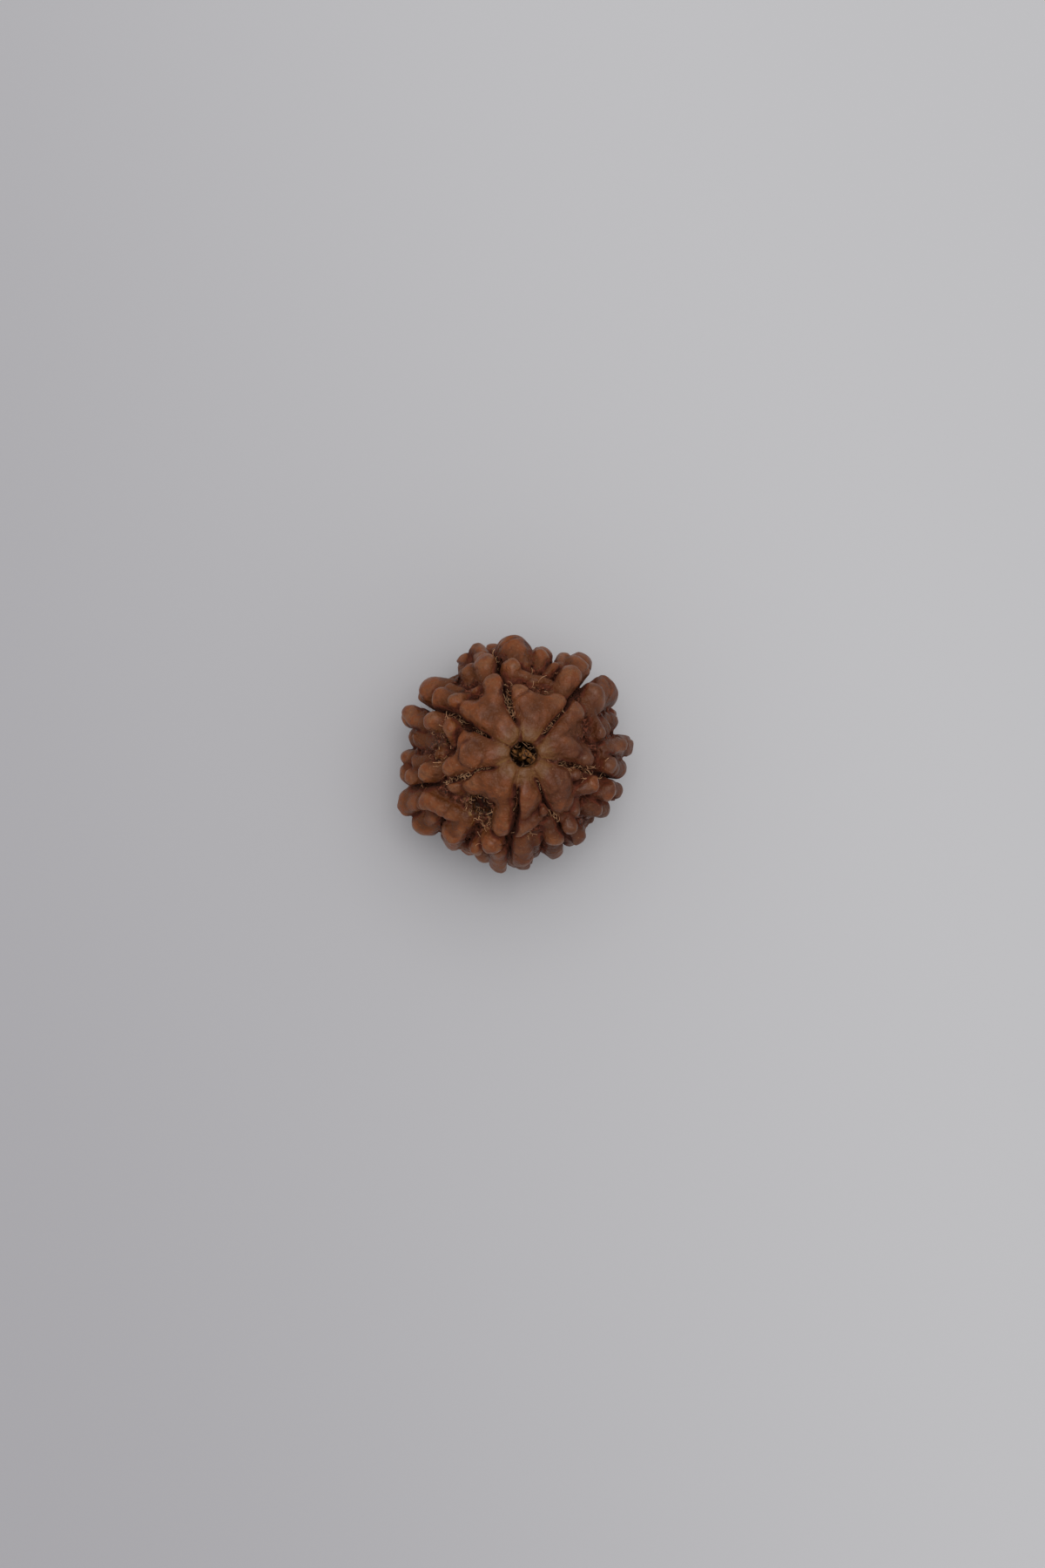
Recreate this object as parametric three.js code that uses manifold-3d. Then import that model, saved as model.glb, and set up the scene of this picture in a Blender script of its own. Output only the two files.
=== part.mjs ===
// Rudraksha bead: the dried stone of a fruit, one woody body with seven faces.
//
// Seven furrows run from pole to pole. In each face two rows of knobbly lobes line the furrows on either
// side, small lobes and pits fill the hollow between them, and at both poles the rows close into a
// three-cornered pad that points at the stringing hole. The bead stands upright on its lower pads.
//
// Millimetres, +Z up along the stringing hole, origin on that axis in the plane the bead stands on.
// Azimuth runs from +X towards +Y and polar angle from the top pole, both in degrees.
import * as THREE from "three";
import { mergeVertices } from "three/addons/utils/BufferGeometryUtils.js";
import Module from "manifold-3d";

// Driving dimensions.
const CORE_RADIUS = 8.2; // girth of the stone between its lobes
const CORE_HALF_HEIGHT = 7.9; // and half its height
const CORE_SQUARENESS = 2.4; // 2 is an ellipsoid, more flattens the poles
const STAND_HEIGHT = 9.05; // middle of the stone above the plane that flattens the lower pads

const HOLE_MOUTH_RADIUS = 1.25;
const HOLE_WAIST_RADIUS = 0.8;
const HOLE_FLARE_DEPTH = 3; // how far below the mouth the hole has narrowed to its waist
const HOLE_SIDES = 20;

const PLATFORM_RISE = 1.1; // height over the core of the platform round each end of the hole
const PLATFORM_FLAT = 11; // polar angle out to which it is flat
const PLATFORM_END = 21; // and where it has sunk to the core

const ROOT_WIDTH = 0.75; // width of a lobe's root, as a share of its head's width
const ROOT_RISE = 0.55; // height of a lobe's root over the core, as a share of its head's
const PAD_ROOT_RISE = 0.8; // the same for the arms of a pad
const PAD_ARMS = 3;
const LOBE_FLANK = 0.3; // half width that a lobe gains for each millimetre below its middle
const LOBE_BLEND = 0.45; // fillet where lobes grow into each other and into the core

const FURROW_DEPTH = 0.5; // below the core's surface
const FURROW_FLARE = 0.09; // half width gained for each millimetre of height
const FURROW_FLOOR = 0.08; // half width of its floor
const FURROW_BLEND = 0.3; // rounding of the furrow's edges
const FURROW_START = 14; // polar angle where a furrow begins
const FURROW_FULL = 25; // and where it has its full depth
const FURROW_CLIMB = 2; // how far its floor climbs from there to its beginning

const SKIN_DETAIL = 24; // subdivision of the bipyramid that becomes the surface

// The faces, in order of azimuth. Each has the furrow it starts at and its lobes in the upper half and
// round the girth, as [root azimuth, root polar, head azimuth, head polar, head width, head rise].
// The first three lobes of a face are the two arms and the middle of its pad.
const FACES = [
  {
    furrow: -15,
    lobes: [
      [13, 12, 2, 28, 2.0, 1.6],
      [20, 12, 37, 38, 2.0, 1.7],
      [15, 12, 17, 21, 2.5, 1.5],
      [14, 31, 24, 34, 2.4, 0.9],
      [6, 36, -5, 35, 1.3, 1.5],
      [3, 44, 25, 44, 1.5, 1.4],
      [34, 52, 36, 60, 2.3, 2.0],
      [-3, 51, -7, 52, 1.9, 1.9],
      [5, 52, 5, 66, 1.9, 2.0],
      [18, 57, 18, 66, 1.8, 0.9],
      [-8, 64, -10, 68, 1.7, 1.6],
      [36, 75, 36, 87, 2.5, 2.3],
      [4, 79, 3, 91, 2.1, 2.1],
      [21, 79, 16, 89, 1.8, 1.2],
      [-9, 80, -9, 90, 1.9, 1.6],
      [7, 100, 2, 104, 1.9, 1.8],
      [15, 103, 22, 98, 1.7, 1.4],
      [-8, 99, -8, 104, 2.0, 1.8],
    ],
  },
  {
    furrow: 46.5,
    lobes: [
      [74, 13, 57, 34, 2.0, 1.6],
      [78, 13, 95, 33, 1.9, 1.6],
      [76, 13, 76, 27, 2.7, 1.5],
      [57, 46, 56, 55, 2.3, 2.0],
      [97, 44, 97, 51, 1.8, 1.9],
      [68, 42, 89, 42, 1.1, 1.4],
      [93, 64, 96, 70, 2.6, 2.4],
      [77, 60, 78, 66, 1.9, 1.6],
      [71, 54, 68, 59, 1.1, 1.3],
      [55, 68, 55, 77, 2.2, 2.1],
      [64, 67, 64, 75, 1.6, 1.7],
      [96, 85, 95, 92, 2.4, 2.3],
      [57, 87, 55, 93, 2.3, 2.2],
      [80, 82, 76, 91, 2.0, 1.6],
      [97, 101, 96, 106, 2.2, 1.9],
      [73, 102, 82, 104, 1.7, 1.3],
      [55, 104, 56, 108, 2.0, 1.9],
    ],
  },
  {
    furrow: 105.5,
    lobes: [
      [127, 15, 113, 42, 1.8, 1.8],
      [132, 15, 142, 38, 2.0, 1.7],
      [130, 15, 129, 32, 2.7, 1.6],
      [112, 55, 112, 61, 2.1, 2.1],
      [134, 48, 142, 48, 1.6, 1.8],
      [120, 48, 126, 46, 1.1, 1.3],
      [143, 58, 145, 64, 2.0, 2.0],
      [133, 60, 137, 66, 1.5, 1.6],
      [124, 59, 122, 65, 1.7, 1.5],
      [112, 74, 111, 87, 2.2, 2.1],
      [143, 77, 143, 89, 2.3, 2.3],
      [129, 79, 125, 89, 1.9, 1.3],
      [144, 102, 145, 107, 2.1, 2.0],
      [122, 101, 130, 103, 1.8, 1.4],
      [113, 99, 112, 105, 2.0, 1.9],
    ],
  },
  {
    furrow: 153,
    lobes: [
      [174, 14, 165, 32, 2.0, 1.6],
      [180, 14, 190, 41, 1.9, 1.8],
      [177, 14, 177, 32, 2.6, 1.6],
      [170, 43, 161, 44, 1.5, 1.9],
      [190, 52, 190, 60, 2.1, 2.0],
      [173, 52, 179, 52, 1.3, 1.2],
      [160, 54, 158, 60, 1.9, 2.0],
      [182, 65, 183, 76, 1.6, 1.7],
      [171, 68, 171, 76, 1.7, 1.2],
      [191, 71, 192, 79, 2.0, 2.2],
      [159, 73, 159, 85, 2.1, 2.4],
      [191, 88, 191, 94, 2.2, 2.4],
      [180, 86, 182, 93, 1.8, 1.7],
      [168, 88, 172, 94, 1.8, 1.3],
      [190, 105, 191, 109, 2.0, 1.9],
      [178, 104, 170, 102, 1.6, 1.4],
      [160, 101, 159, 106, 2.1, 2.0],
    ],
  },
  {
    furrow: 199.5,
    lobes: [
      [226, 13, 211, 34, 2.0, 1.6],
      [232, 13, 251, 42, 2.0, 1.8],
      [229, 13, 231, 25, 2.7, 1.5],
      [210, 44, 206, 43, 1.4, 1.5],
      [219, 57, 209, 60, 2.3, 2.3],
      [249, 54, 253, 54, 1.9, 2.0],
      [230, 57, 231, 68, 2.4, 1.8],
      [246, 61, 247, 66, 1.5, 1.6],
      [204, 73, 204, 88, 1.9, 2.6],
      [213, 76, 212, 89, 2.2, 2.7],
      [232, 77, 234, 88, 2.6, 1.8],
      [257, 66, 257, 83, 1.8, 2.2],
      [221, 88, 219, 94, 2.0, 2.0],
      [248, 80, 244, 90, 2.0, 1.5],
      [204, 99, 205, 104, 2.0, 2.0],
      [218, 103, 212, 106, 1.9, 1.7],
      [228, 101, 236, 103, 1.9, 1.5],
      [254, 97, 253, 103, 2.0, 1.9],
    ],
  },
  {
    furrow: 260.5,
    lobes: [
      [272, 12, 269, 30, 1.8, 1.6],
      [276, 12, 288, 26, 1.7, 1.5],
      [274, 12, 277, 25, 2.0, 1.5],
      [284, 37, 267, 40, 1.6, 1.9],
      [289, 34, 293, 33, 1.0, 1.4],
      [269, 51, 270, 66, 2.0, 2.1],
      [292, 47, 292, 57, 2.0, 1.8],
      [281, 50, 281, 58, 1.4, 1.1],
      [270, 78, 270, 91, 2.1, 2.2],
      [290, 70, 290, 85, 2.1, 1.6],
      [281, 72, 281, 88, 1.5, 0.9],
      [268, 101, 269, 106, 2.0, 1.9],
      [289, 98, 291, 103, 2.0, 1.7],
      [279, 98, 282, 104, 1.5, 1.1],
    ],
  },
  {
    furrow: 298,
    lobes: [
      [318, 12, 311, 36, 2.1, 1.7],
      [324, 12, 332, 25, 2.0, 1.5],
      [321, 12, 320, 29, 2.7, 1.6],
      [308, 46, 305, 51, 2.0, 2.0],
      [319, 43, 314, 46, 1.3, 1.5],
      [334, 34, 338, 33, 1.1, 1.5],
      [326, 39, 337, 43, 1.7, 1.9],
      [334, 54, 337, 60, 2.1, 1.9],
      [322, 53, 324, 62, 1.7, 1.3],
      [305, 62, 305, 68, 1.9, 1.8],
      [338, 76, 338, 88, 2.0, 1.8],
      [305, 80, 305, 91, 2.1, 1.7],
      [324, 77, 321, 88, 2.0, 1.2],
      [336, 100, 338, 105, 2.0, 1.8],
      [307, 103, 305, 107, 2.0, 1.7],
      [316, 100, 325, 103, 1.8, 1.4],
    ],
  },
];
const GIRTH_POLAR = 88; // lobes with heads past this polar angle ring the girth, and aren't repeated below
const LOWER_SHIFT = 3; // a face's lower half takes the lobes of the face this many places on

const BEAD_COLOUR = "#67422f";
const BEAD_ROUGHNESS = 0.6; // dry wood, polished a little by handling

const RAY_START = 13; // outside the highest lobe
const RAY_END = 4; // inside the deepest furrow
const RAY_STEP = 0.8; // share of the distance that one step along a ray takes
const RAY_TOLERANCE = 0.001;
const MERGE_TOLERANCE = 1e-5; // vertices closer than this are one

const { clamp, degToRad, euclideanModulo, radToDeg, smoothstep } = THREE.MathUtils;
const faceCount = FACES.length;

function direction(azimuth, polar) {
  const turn = degToRad(azimuth);
  const level = Math.sin(degToRad(polar));
  return new THREE.Vector3(level * Math.cos(turn), level * Math.sin(turn), Math.cos(degToRad(polar)));
}

// Distance from the middle to the core's surface where the direction has this height over the equator.
function coreRadius(sine) {
  const across = Math.sqrt(1 - sine * sine) / CORE_RADIUS;
  const along = Math.abs(sine) / CORE_HALF_HEIGHT;
  return (across ** CORE_SQUARENESS + along ** CORE_SQUARENESS) ** (-1 / CORE_SQUARENESS);
}

// A lobe is a round finger from its root to its head, with its crest at a given rise over the core.
function lobe([rootAzimuth, rootPolar, headAzimuth, headPolar, width, rise], index) {
  const point = (azimuth, polar, radius, lift) => {
    const way = direction(azimuth, polar);
    return way.multiplyScalar(coreRadius(way.z) + lift - radius);
  };
  const headRadius = width / 2;
  const rootRadius = headRadius * ROOT_WIDTH;
  const rootRise = rise * (index < PAD_ARMS ? PAD_ROOT_RISE : ROOT_RISE);
  const root = point(rootAzimuth, rootPolar, rootRadius, rootRise);
  const along = point(headAzimuth, headPolar, headRadius, rise).sub(root);
  return { root, along, lengthSq: along.lengthSq(), rootRadius, growth: headRadius - rootRadius };
}

// The lower half of a face repeats another face's lobes, turned over and fitted between its own furrows.
function lowerLobes(index) {
  const width = (i) => euclideanModulo(FACES[(i + 1) % faceCount].furrow - FACES[i].furrow, 360);
  const source = (index + LOWER_SHIFT) % faceCount;
  const { furrow, lobes } = FACES[source];
  const azimuth = (a) => FACES[index].furrow + (1 - (a - furrow) / width(source)) * width(index);
  return lobes
    .filter(([, , , headPolar]) => headPolar < GIRTH_POLAR)
    .map(([a, p, b, q, w, rise]) => [azimuth(a), 180 - p, azimuth(b), 180 - q, w, rise]);
}

const faces = FACES.map((face, index) => [...face.lobes.map(lobe), ...lowerLobes(index).map(lobe)]);
const furrows = FACES.map(({ furrow }) => direction(furrow, 90));

function smoothMin(a, b, blend) {
  const h = Math.max(blend - Math.abs(a - b), 0) / blend;
  return Math.min(a, b) - (h * h * blend) / 4;
}

const offset = new THREE.Vector3();
function lobeDistance(point, { root, along, lengthSq, rootRadius, growth }) {
  offset.subVectors(point, root);
  const t = clamp(offset.dot(along) / lengthSq, 0, 1);
  offset.addScaledVector(along, -t);
  const below = Math.min(offset.dot(point) / point.lengthSq(), 0);
  const flank = LOBE_FLANK * below * point.length();
  return offset.addScaledVector(point, -below).length() - rootRadius - growth * t + flank;
}

// How far the point is outside the nearest furrow, a narrow wedge that opens outwards.
function furrowDistance(point, height, polar) {
  const closed = 1 - smoothstep(polar, FURROW_START, FURROW_FULL);
  const opening = FURROW_FLOOR + (height + FURROW_DEPTH) * FURROW_FLARE - closed;
  let nearest = Infinity;
  for (const { x, y } of furrows) {
    if (point.x * x + point.y * y > 0) nearest = Math.min(nearest, Math.abs(point.x * y - point.y * x));
  }
  return Math.max(nearest - opening, FURROW_CLIMB * closed - height - FURROW_DEPTH);
}

// Signed distance to the bead's surface, before the hole and the flat spots are cut.
function beadDistance(point) {
  const radius = point.length();
  const sine = point.z / radius;
  const height = radius - coreRadius(sine);
  const polar = radToDeg(Math.acos(Math.abs(sine)));
  const ground = height - PLATFORM_RISE * (1 - smoothstep(polar, PLATFORM_FLAT, PLATFORM_END));
  const blend = (nearest, one) => smoothMin(nearest, lobeDistance(point, one), LOBE_BLEND);
  const grown = Math.min(...faces.map((lobes) => lobes.reduce(blend, ground)));
  return -smoothMin(-grown, furrowDistance(point, height, polar), FURROW_BLEND);
}

// The outer skin. Its vertices come from a seven-sided bipyramid whose slanting edges lie in the furrows,
// so that each furrow has a clean floor. They are spread evenly from pole to pole, and each one then moves
// along its own ray to the bead's surface.
function skinGeometry() {
  const corners = [new THREE.Vector3(0, 0, 1), new THREE.Vector3(0, 0, -1), ...furrows];
  const sides = FACES.flatMap((_, i) => {
    const [here, next] = [2 + i, 2 + ((i + 1) % faceCount)];
    return [0, here, next, 1, next, here];
  });
  const bipyramid = new THREE.PolyhedronGeometry(
    corners.flatMap((corner) => corner.toArray()),
    sides,
    1,
    SKIN_DETAIL,
  );
  bipyramid.deleteAttribute("normal");
  bipyramid.deleteAttribute("uv");
  const skin = mergeVertices(bipyramid, MERGE_TOLERANCE);
  const position = skin.getAttribute("position");
  const way = new THREE.Vector3();
  const point = new THREE.Vector3();
  for (let i = 0; i < position.count; i++) {
    way.fromBufferAttribute(position, i);
    const across = Math.hypot(way.x, way.y);
    const polar = (Math.PI / 2) * (across / (across + Math.abs(way.z)));
    const spread = across > 0 ? Math.sin(polar) / across : 0;
    way.set(way.x * spread, way.y * spread, Math.sign(way.z) * Math.cos(polar));
    let reach = RAY_START;
    let gap = Infinity;
    while (gap > RAY_TOLERANCE && reach > RAY_END) {
      gap = beadDistance(point.copy(way).multiplyScalar(reach));
      reach -= gap * RAY_STEP;
    }
    position.setXYZ(i, way.x * reach, way.y * reach, way.z * reach);
  }
  return skin;
}

// The stringing hole, narrowest in the middle and flared at both mouths.
function holeGeometry() {
  const end = RAY_START;
  const mouth = coreRadius(1);
  const waist = mouth - HOLE_FLARE_DEPTH;
  const profile = [
    [0, -end],
    [HOLE_MOUTH_RADIUS, -end],
    [HOLE_MOUTH_RADIUS, -mouth],
    [HOLE_WAIST_RADIUS, -waist],
    [HOLE_WAIST_RADIUS, waist],
    [HOLE_MOUTH_RADIUS, mouth],
    [HOLE_MOUTH_RADIUS, end],
    [0, end],
  ].map(([x, y]) => new THREE.Vector2(x, y));
  return new THREE.LatheGeometry(profile, HOLE_SIDES).rotateX(Math.PI / 2);
}

// Everything below the plane that the bead stands on.
function groundGeometry() {
  const size = 4 * RAY_START;
  return new THREE.BoxGeometry(size, size, size).translate(0, 0, -STAND_HEIGHT - size / 2);
}

const wasm = await Module();
wasm.setup();

function solid(geometry) {
  geometry.deleteAttribute("normal");
  geometry.deleteAttribute("uv");
  const merged = mergeVertices(geometry, MERGE_TOLERANCE);
  return new wasm.Manifold(
    new wasm.Mesh({
      numProp: 3,
      vertProperties: merged.getAttribute("position").array,
      triVerts: new Uint32Array(merged.index.array),
    }),
  );
}

function beadGeometry() {
  const cut = solid(skinGeometry()).subtract(solid(holeGeometry())).subtract(solid(groundGeometry()));
  const { vertProperties, triVerts } = cut.getMesh();
  const geometry = new THREE.BufferGeometry();
  geometry.setAttribute("position", new THREE.BufferAttribute(vertProperties, 3));
  geometry.setIndex(new THREE.BufferAttribute(triVerts, 1));
  geometry.computeVertexNormals();
  return geometry;
}

const bead = new THREE.Mesh(
  beadGeometry(),
  new THREE.MeshStandardMaterial({ color: BEAD_COLOUR, roughness: BEAD_ROUGHNESS, metalness: 0 }),
);
bead.name = "bead";
bead.position.z = STAND_HEIGHT;

const part = new THREE.Group();
part.add(bead);

export default part;
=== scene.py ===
import math

import bpy
import numpy as np
import openvdb
from mathutils import Matrix, Vector


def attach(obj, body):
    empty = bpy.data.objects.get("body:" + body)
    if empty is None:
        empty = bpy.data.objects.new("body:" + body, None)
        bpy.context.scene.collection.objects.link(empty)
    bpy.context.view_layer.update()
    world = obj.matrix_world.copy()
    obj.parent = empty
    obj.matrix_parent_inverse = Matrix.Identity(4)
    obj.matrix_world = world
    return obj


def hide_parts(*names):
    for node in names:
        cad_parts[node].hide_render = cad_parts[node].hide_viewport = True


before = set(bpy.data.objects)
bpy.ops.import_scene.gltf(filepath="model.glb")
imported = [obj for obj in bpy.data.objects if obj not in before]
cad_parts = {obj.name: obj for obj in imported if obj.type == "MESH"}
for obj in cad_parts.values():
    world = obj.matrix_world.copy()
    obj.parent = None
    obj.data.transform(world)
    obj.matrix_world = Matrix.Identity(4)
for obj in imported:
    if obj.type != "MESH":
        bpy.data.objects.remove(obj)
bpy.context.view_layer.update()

# The stone
# A rudraksha is the dried stone of a fruit: one woody body that grew with seven faces and a furrow between
# each two. It is cleaned, oiled and drilled from pole to pole, and nothing is fixed to it.

MM = 0.001
STAND_HEIGHT = 9.05  # everything about the stone's form is in millimetres from its middle, this far up

CORE_RADIUS = 8.2
CORE_HALF_HEIGHT = 7.9
CORE_SQUARENESS = 2.4
PLATFORM_RISE = 0.85
PLATFORM_FLAT = 12  # polar angles, in degrees as all angles here
PLATFORM_END = 25

ROOT_WIDTH = 0.75  # a lobe's root, as shares of its head
ROOT_RISE = 0.55
PAD_ROOT_RISE = 0.8
PAD_ARMS = 3  # a face's first lobes make the pad next to the hole
PAD_TRIM = 0.04  # what the swellings and creases take off a crest, on the whole, is added first
LOBE_TRIM = 0.1
PAD_BLEND = 0.7
PAD_EDGE = 0.45
LOBE_FLANK = 0.3
LOBE_BLEND = 0.2
FACE_EDGE = 0.18
FACE_LAP = 0.12
FACE_POLE_LAP = 0.8

FURROW_DEPTH = 0.5
FURROW_FLARE = 0.03
FURROW_BLEND = 0.25
FURROW_WANDER = 0.22
FURROW_WANDER_SIZE = 1.0
FURROW_BEND = (45, 85)  # polar angles between which a furrow turns to its place at the girth
FURROW_LEAD = 9
FURROW_END = 3
FURROW_CLIMB = 4
FURROW_TAPER = 0.35

HOLE_MOUTH_RADIUS = 1.02
HOLE_WAIST_RADIUS = 0.8
HOLE_FLARE_DEPTH = 3
HOLE_BLEND = 0.25
HOLE_GRAIN = 0.16
HOLE_SHADE = (-0.05, 0.15)  # where the painted shade of the hole starts to fade, past its mouth, and where it ends
HOLE_SHADE_WANDER = 0.15
STREAKS = (19, 26, 33, 43)  # to a full turn, in the fibrous wood round the hole
STREAK_DEPTH = 0.06
STREAK_BEND = 2.5

# Each face has the azimuth of the furrow it starts at, near the pole and at the girth, the polar angle where
# that furrow opens, half the width of its floor, and its lobes, as (root azimuth, root polar, head azimuth,
# head polar, head width, head rise).
FACES = [
    (-14.5, -14.5, 22.5, 0.07, [
        (13, 12, 2, 28, 2.0, 1.6), (20, 12, 37, 38, 2.0, 1.7), (15, 12, 17, 21, 2.5, 1.5),
        (14, 31, 24, 34, 2.4, 0.9), (6, 36, -5, 35, 1.3, 1.5), (36, 58, 16, 46, 0.9, 1.5),
        (34, 52, 36, 60, 2.3, 2.0), (-3, 51, -7, 52, 1.9, 1.9), (5, 52, 5, 66, 1.9, 2.0),
        (18, 57, 18, 66, 1.8, 0.9), (-8, 64, -10, 68, 1.7, 1.6), (34, 75, 35, 87, 3.0, 2.4),
        (4, 79, 3, 90, 2.1, 2.5), (21, 79, 17, 89, 1.8, 1.4), (-8, 80, -9.5, 90, 2.2, 1.8),
        (7, 100, 2, 104, 1.9, 1.8), (15, 103, 22, 98, 1.7, 1.4), (-8, 99, -8, 104, 2.0, 1.8),
    ]),
    (46.5, 46, 16.5, 0.05, [
        (74, 13, 57, 34, 2.0, 1.6), (78, 13, 95, 33, 1.9, 1.6), (76, 13, 76, 27, 2.7, 1.5),
        (57, 46, 56, 55, 2.3, 2.0), (97, 46, 97, 51, 1.8, 1.9), (66, 47, 92, 48, 1.3, 1.2),
        (89, 59, 92, 71, 3.0, 2.25), (77, 60, 78, 66, 1.9, 1.6), (71, 54, 68, 59, 1.1, 1.3),
        (55, 68, 55, 77, 2.2, 2.1), (64, 67, 63, 80, 1.6, 1.8), (96, 85, 95, 92, 2.8, 2.25),
        (58, 87, 54.5, 93, 2.6, 2.5), (80, 82, 76, 91, 2.0, 1.6), (97, 101, 96, 106, 2.2, 1.9),
        (73, 102, 82, 104, 1.7, 1.3), (55, 104, 56, 108, 2.0, 1.9),
    ]),
    (104.5, 104, 20.5, 0.09, [
        (127, 15, 113, 42, 1.8, 1.8), (132, 15, 142, 38, 2.0, 1.7), (130, 15, 129, 32, 2.7, 1.6),
        (114, 52, 112, 60, 2.1, 2.0), (134, 48, 142, 48, 1.6, 1.8), (120, 48, 126, 46, 1.1, 1.3),
        (141, 56, 144, 64, 2.4, 2.1), (133, 60, 137, 66, 1.5, 1.6), (124, 59, 122, 65, 1.7, 1.5),
        (112, 74, 111, 87, 2.2, 2.4), (135, 80, 140.5, 82, 2.8, 2.5), (122, 80, 118, 87, 2.2, 2.05),
        (144, 102, 145, 107, 2.1, 2.0), (122, 101, 130, 103, 1.8, 0.8), (113, 99, 112, 105, 2.0, 1.9),
    ]),
    (151, 152, 22, 0.13, [
        (174, 14, 165, 32, 2.0, 1.6), (180, 14, 190, 41, 1.9, 1.8), (177, 14, 177, 31, 2.2, 1.45),
        (170, 43, 161, 44, 1.5, 1.9), (190, 52, 190, 60, 2.1, 2.0), (173, 52, 179, 52, 1.3, 1.2),
        (160, 54, 158, 60, 1.9, 2.0), (182, 65, 183, 76, 1.6, 1.7), (171, 68, 171, 76, 1.7, 1.2),
        (191, 71, 192, 79, 2.0, 2.2), (161, 73, 160.5, 85, 1.9, 2.4), (191, 88, 191, 94, 2.2, 2.4),
        (180, 86, 182, 92, 1.8, 2.0), (168, 88, 172, 94, 1.8, 1.3), (190, 105, 191, 109, 2.0, 1.9),
        (178, 104, 170, 102, 1.6, 1.2), (160, 101, 159, 106, 2.1, 2.0),
    ]),
    (201.5, 196.5, 17.5, 0.03, [
        (226, 13, 211, 34, 2.0, 1.6), (233, 13, 253.5, 42, 2.0, 1.8), (229, 13, 231, 25, 2.7, 1.5),
        (210, 44, 206, 43, 1.4, 1.5), (223, 58, 206, 66, 2.1, 2.3), (249, 54, 253, 54, 1.9, 2.0),
        (230, 57, 231, 68, 2.4, 1.8), (246, 61, 247, 66, 1.5, 1.6), (207, 72, 204, 87, 2.5, 3.4),
        (216, 76, 217.5, 88, 2.6, 2.95), (232, 77, 234, 88, 2.6, 2.0), (259, 66, 261, 83, 2.0, 2.3),
        (221, 88, 219, 94, 2.0, 2.0), (248, 80, 244, 90, 2.0, 1.5), (204, 99, 205, 104, 2.0, 2.0),
        (218, 103, 212, 106, 1.9, 1.7), (228, 101, 236, 103, 1.9, 1.5), (254, 97, 253, 103, 2.0, 1.9),
    ]),
    (264.5, 266.5, 18, 0.03, [
        (272, 12, 269, 30, 1.8, 1.6), (276, 12, 288, 26, 1.7, 1.5), (274, 12, 277, 25, 2.0, 1.5),
        (284, 37, 267, 40, 1.6, 1.9), (289, 34, 293, 33, 1.0, 1.4), (272, 51, 273, 66, 2.0, 2.1),
        (292, 47, 292, 57, 2.0, 1.8), (281, 50, 281, 58, 1.4, 1.1), (273, 78, 274, 91, 2.1, 2.0),
        (291, 70, 293, 85, 2.1, 1.35), (281, 72, 281, 88, 1.5, 0.9), (272, 101, 272, 106, 2.0, 1.8),
        (289, 98, 291, 103, 2.0, 1.2), (279, 98, 282, 104, 1.5, 1.1),
    ]),
    (299.5, 299.5, 15.5, 0.02, [
        (318, 12, 311, 36, 2.1, 1.7), (324, 12, 332, 25, 2.0, 1.5), (321, 12, 320, 29, 2.7, 1.6),
        (308, 46, 305, 51, 2.0, 2.0), (319, 43, 314, 46, 1.3, 1.5), (334, 34, 338, 33, 1.1, 1.5),
        (326, 39, 337, 43, 1.7, 1.9), (335, 54, 338.5, 60, 2.1, 1.9), (322, 53, 324, 62, 1.7, 1.3),
        (305, 62, 305, 68, 1.9, 1.8), (340, 76, 339.5, 88, 2.0, 2.1), (306, 80, 307, 91, 2.1, 1.4),
        (324, 77, 327, 88, 2.0, 1.5), (336, 100, 338, 105, 2.0, 1.8), (308, 103, 307, 107, 2.0, 1.4),
        (316, 100, 319, 103, 1.8, 1.1),
    ]),
]
GIRTH_POLAR = 75  # only lobes above this are repeated below
LOWER_SHIFT = 3  # faces on from a face to the one that its lower half repeats

# Pits, painted dark inside as shade, as (azimuth, polar, radius, depth under the core's surface).
PITS = [
    (232, 43, 0.75, 1), (225, 41, 0.35, 0.5), (240, 44, 0.35, 0.4), (105, 36, 0.4, 0.6),
    (155, 33, 0.4, 0.5), (168, 49, 0.3, 0.4), (178, 58, 0.35, 0.4),
]
PIT_BLEND = 0.3
PIT_SHADE = 0.35

# The shreds of pith left in the hole, as (start, end, radius), from the middle of the hole's upper mouth.
PITH = [
    ((1, -0.35, -0.9), (0.25, 0.05, -0.8), 0.22), ((0.1, 0.4, -1.1), (0.15, -0.3, -0.75), 0.22),
    ((-0.15, 0, -0.9), (0.3, 0.15, -0.7), 0.17), ((-0.9, 0.4, -0.8), (-0.65, 0.25, -0.9), 0.15),
    ((0.8, -0.7, -0.6), (0.45, -0.5, -1.3), 0.18), ((-1, 0.3, -4.5), (0.4, -0.2, -5), 0.5),
    ((-0.3, -1, -6.5), (-0.5, 0.6, -6), 0.5),
]
PITH_BLEND = 0.15
PITH_GRAIN = 0.16
PITH_STAIN = (0.02, 0.12)

STONE_TRIANGLES = 190_000
STEP = 0.13  # between the points at which the form is worked out
REACH = (11.1, 11.1, 10.1)
LOBE_MARGIN = 1.6  # how far round a lobe it is worked out
FAR = 99

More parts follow.
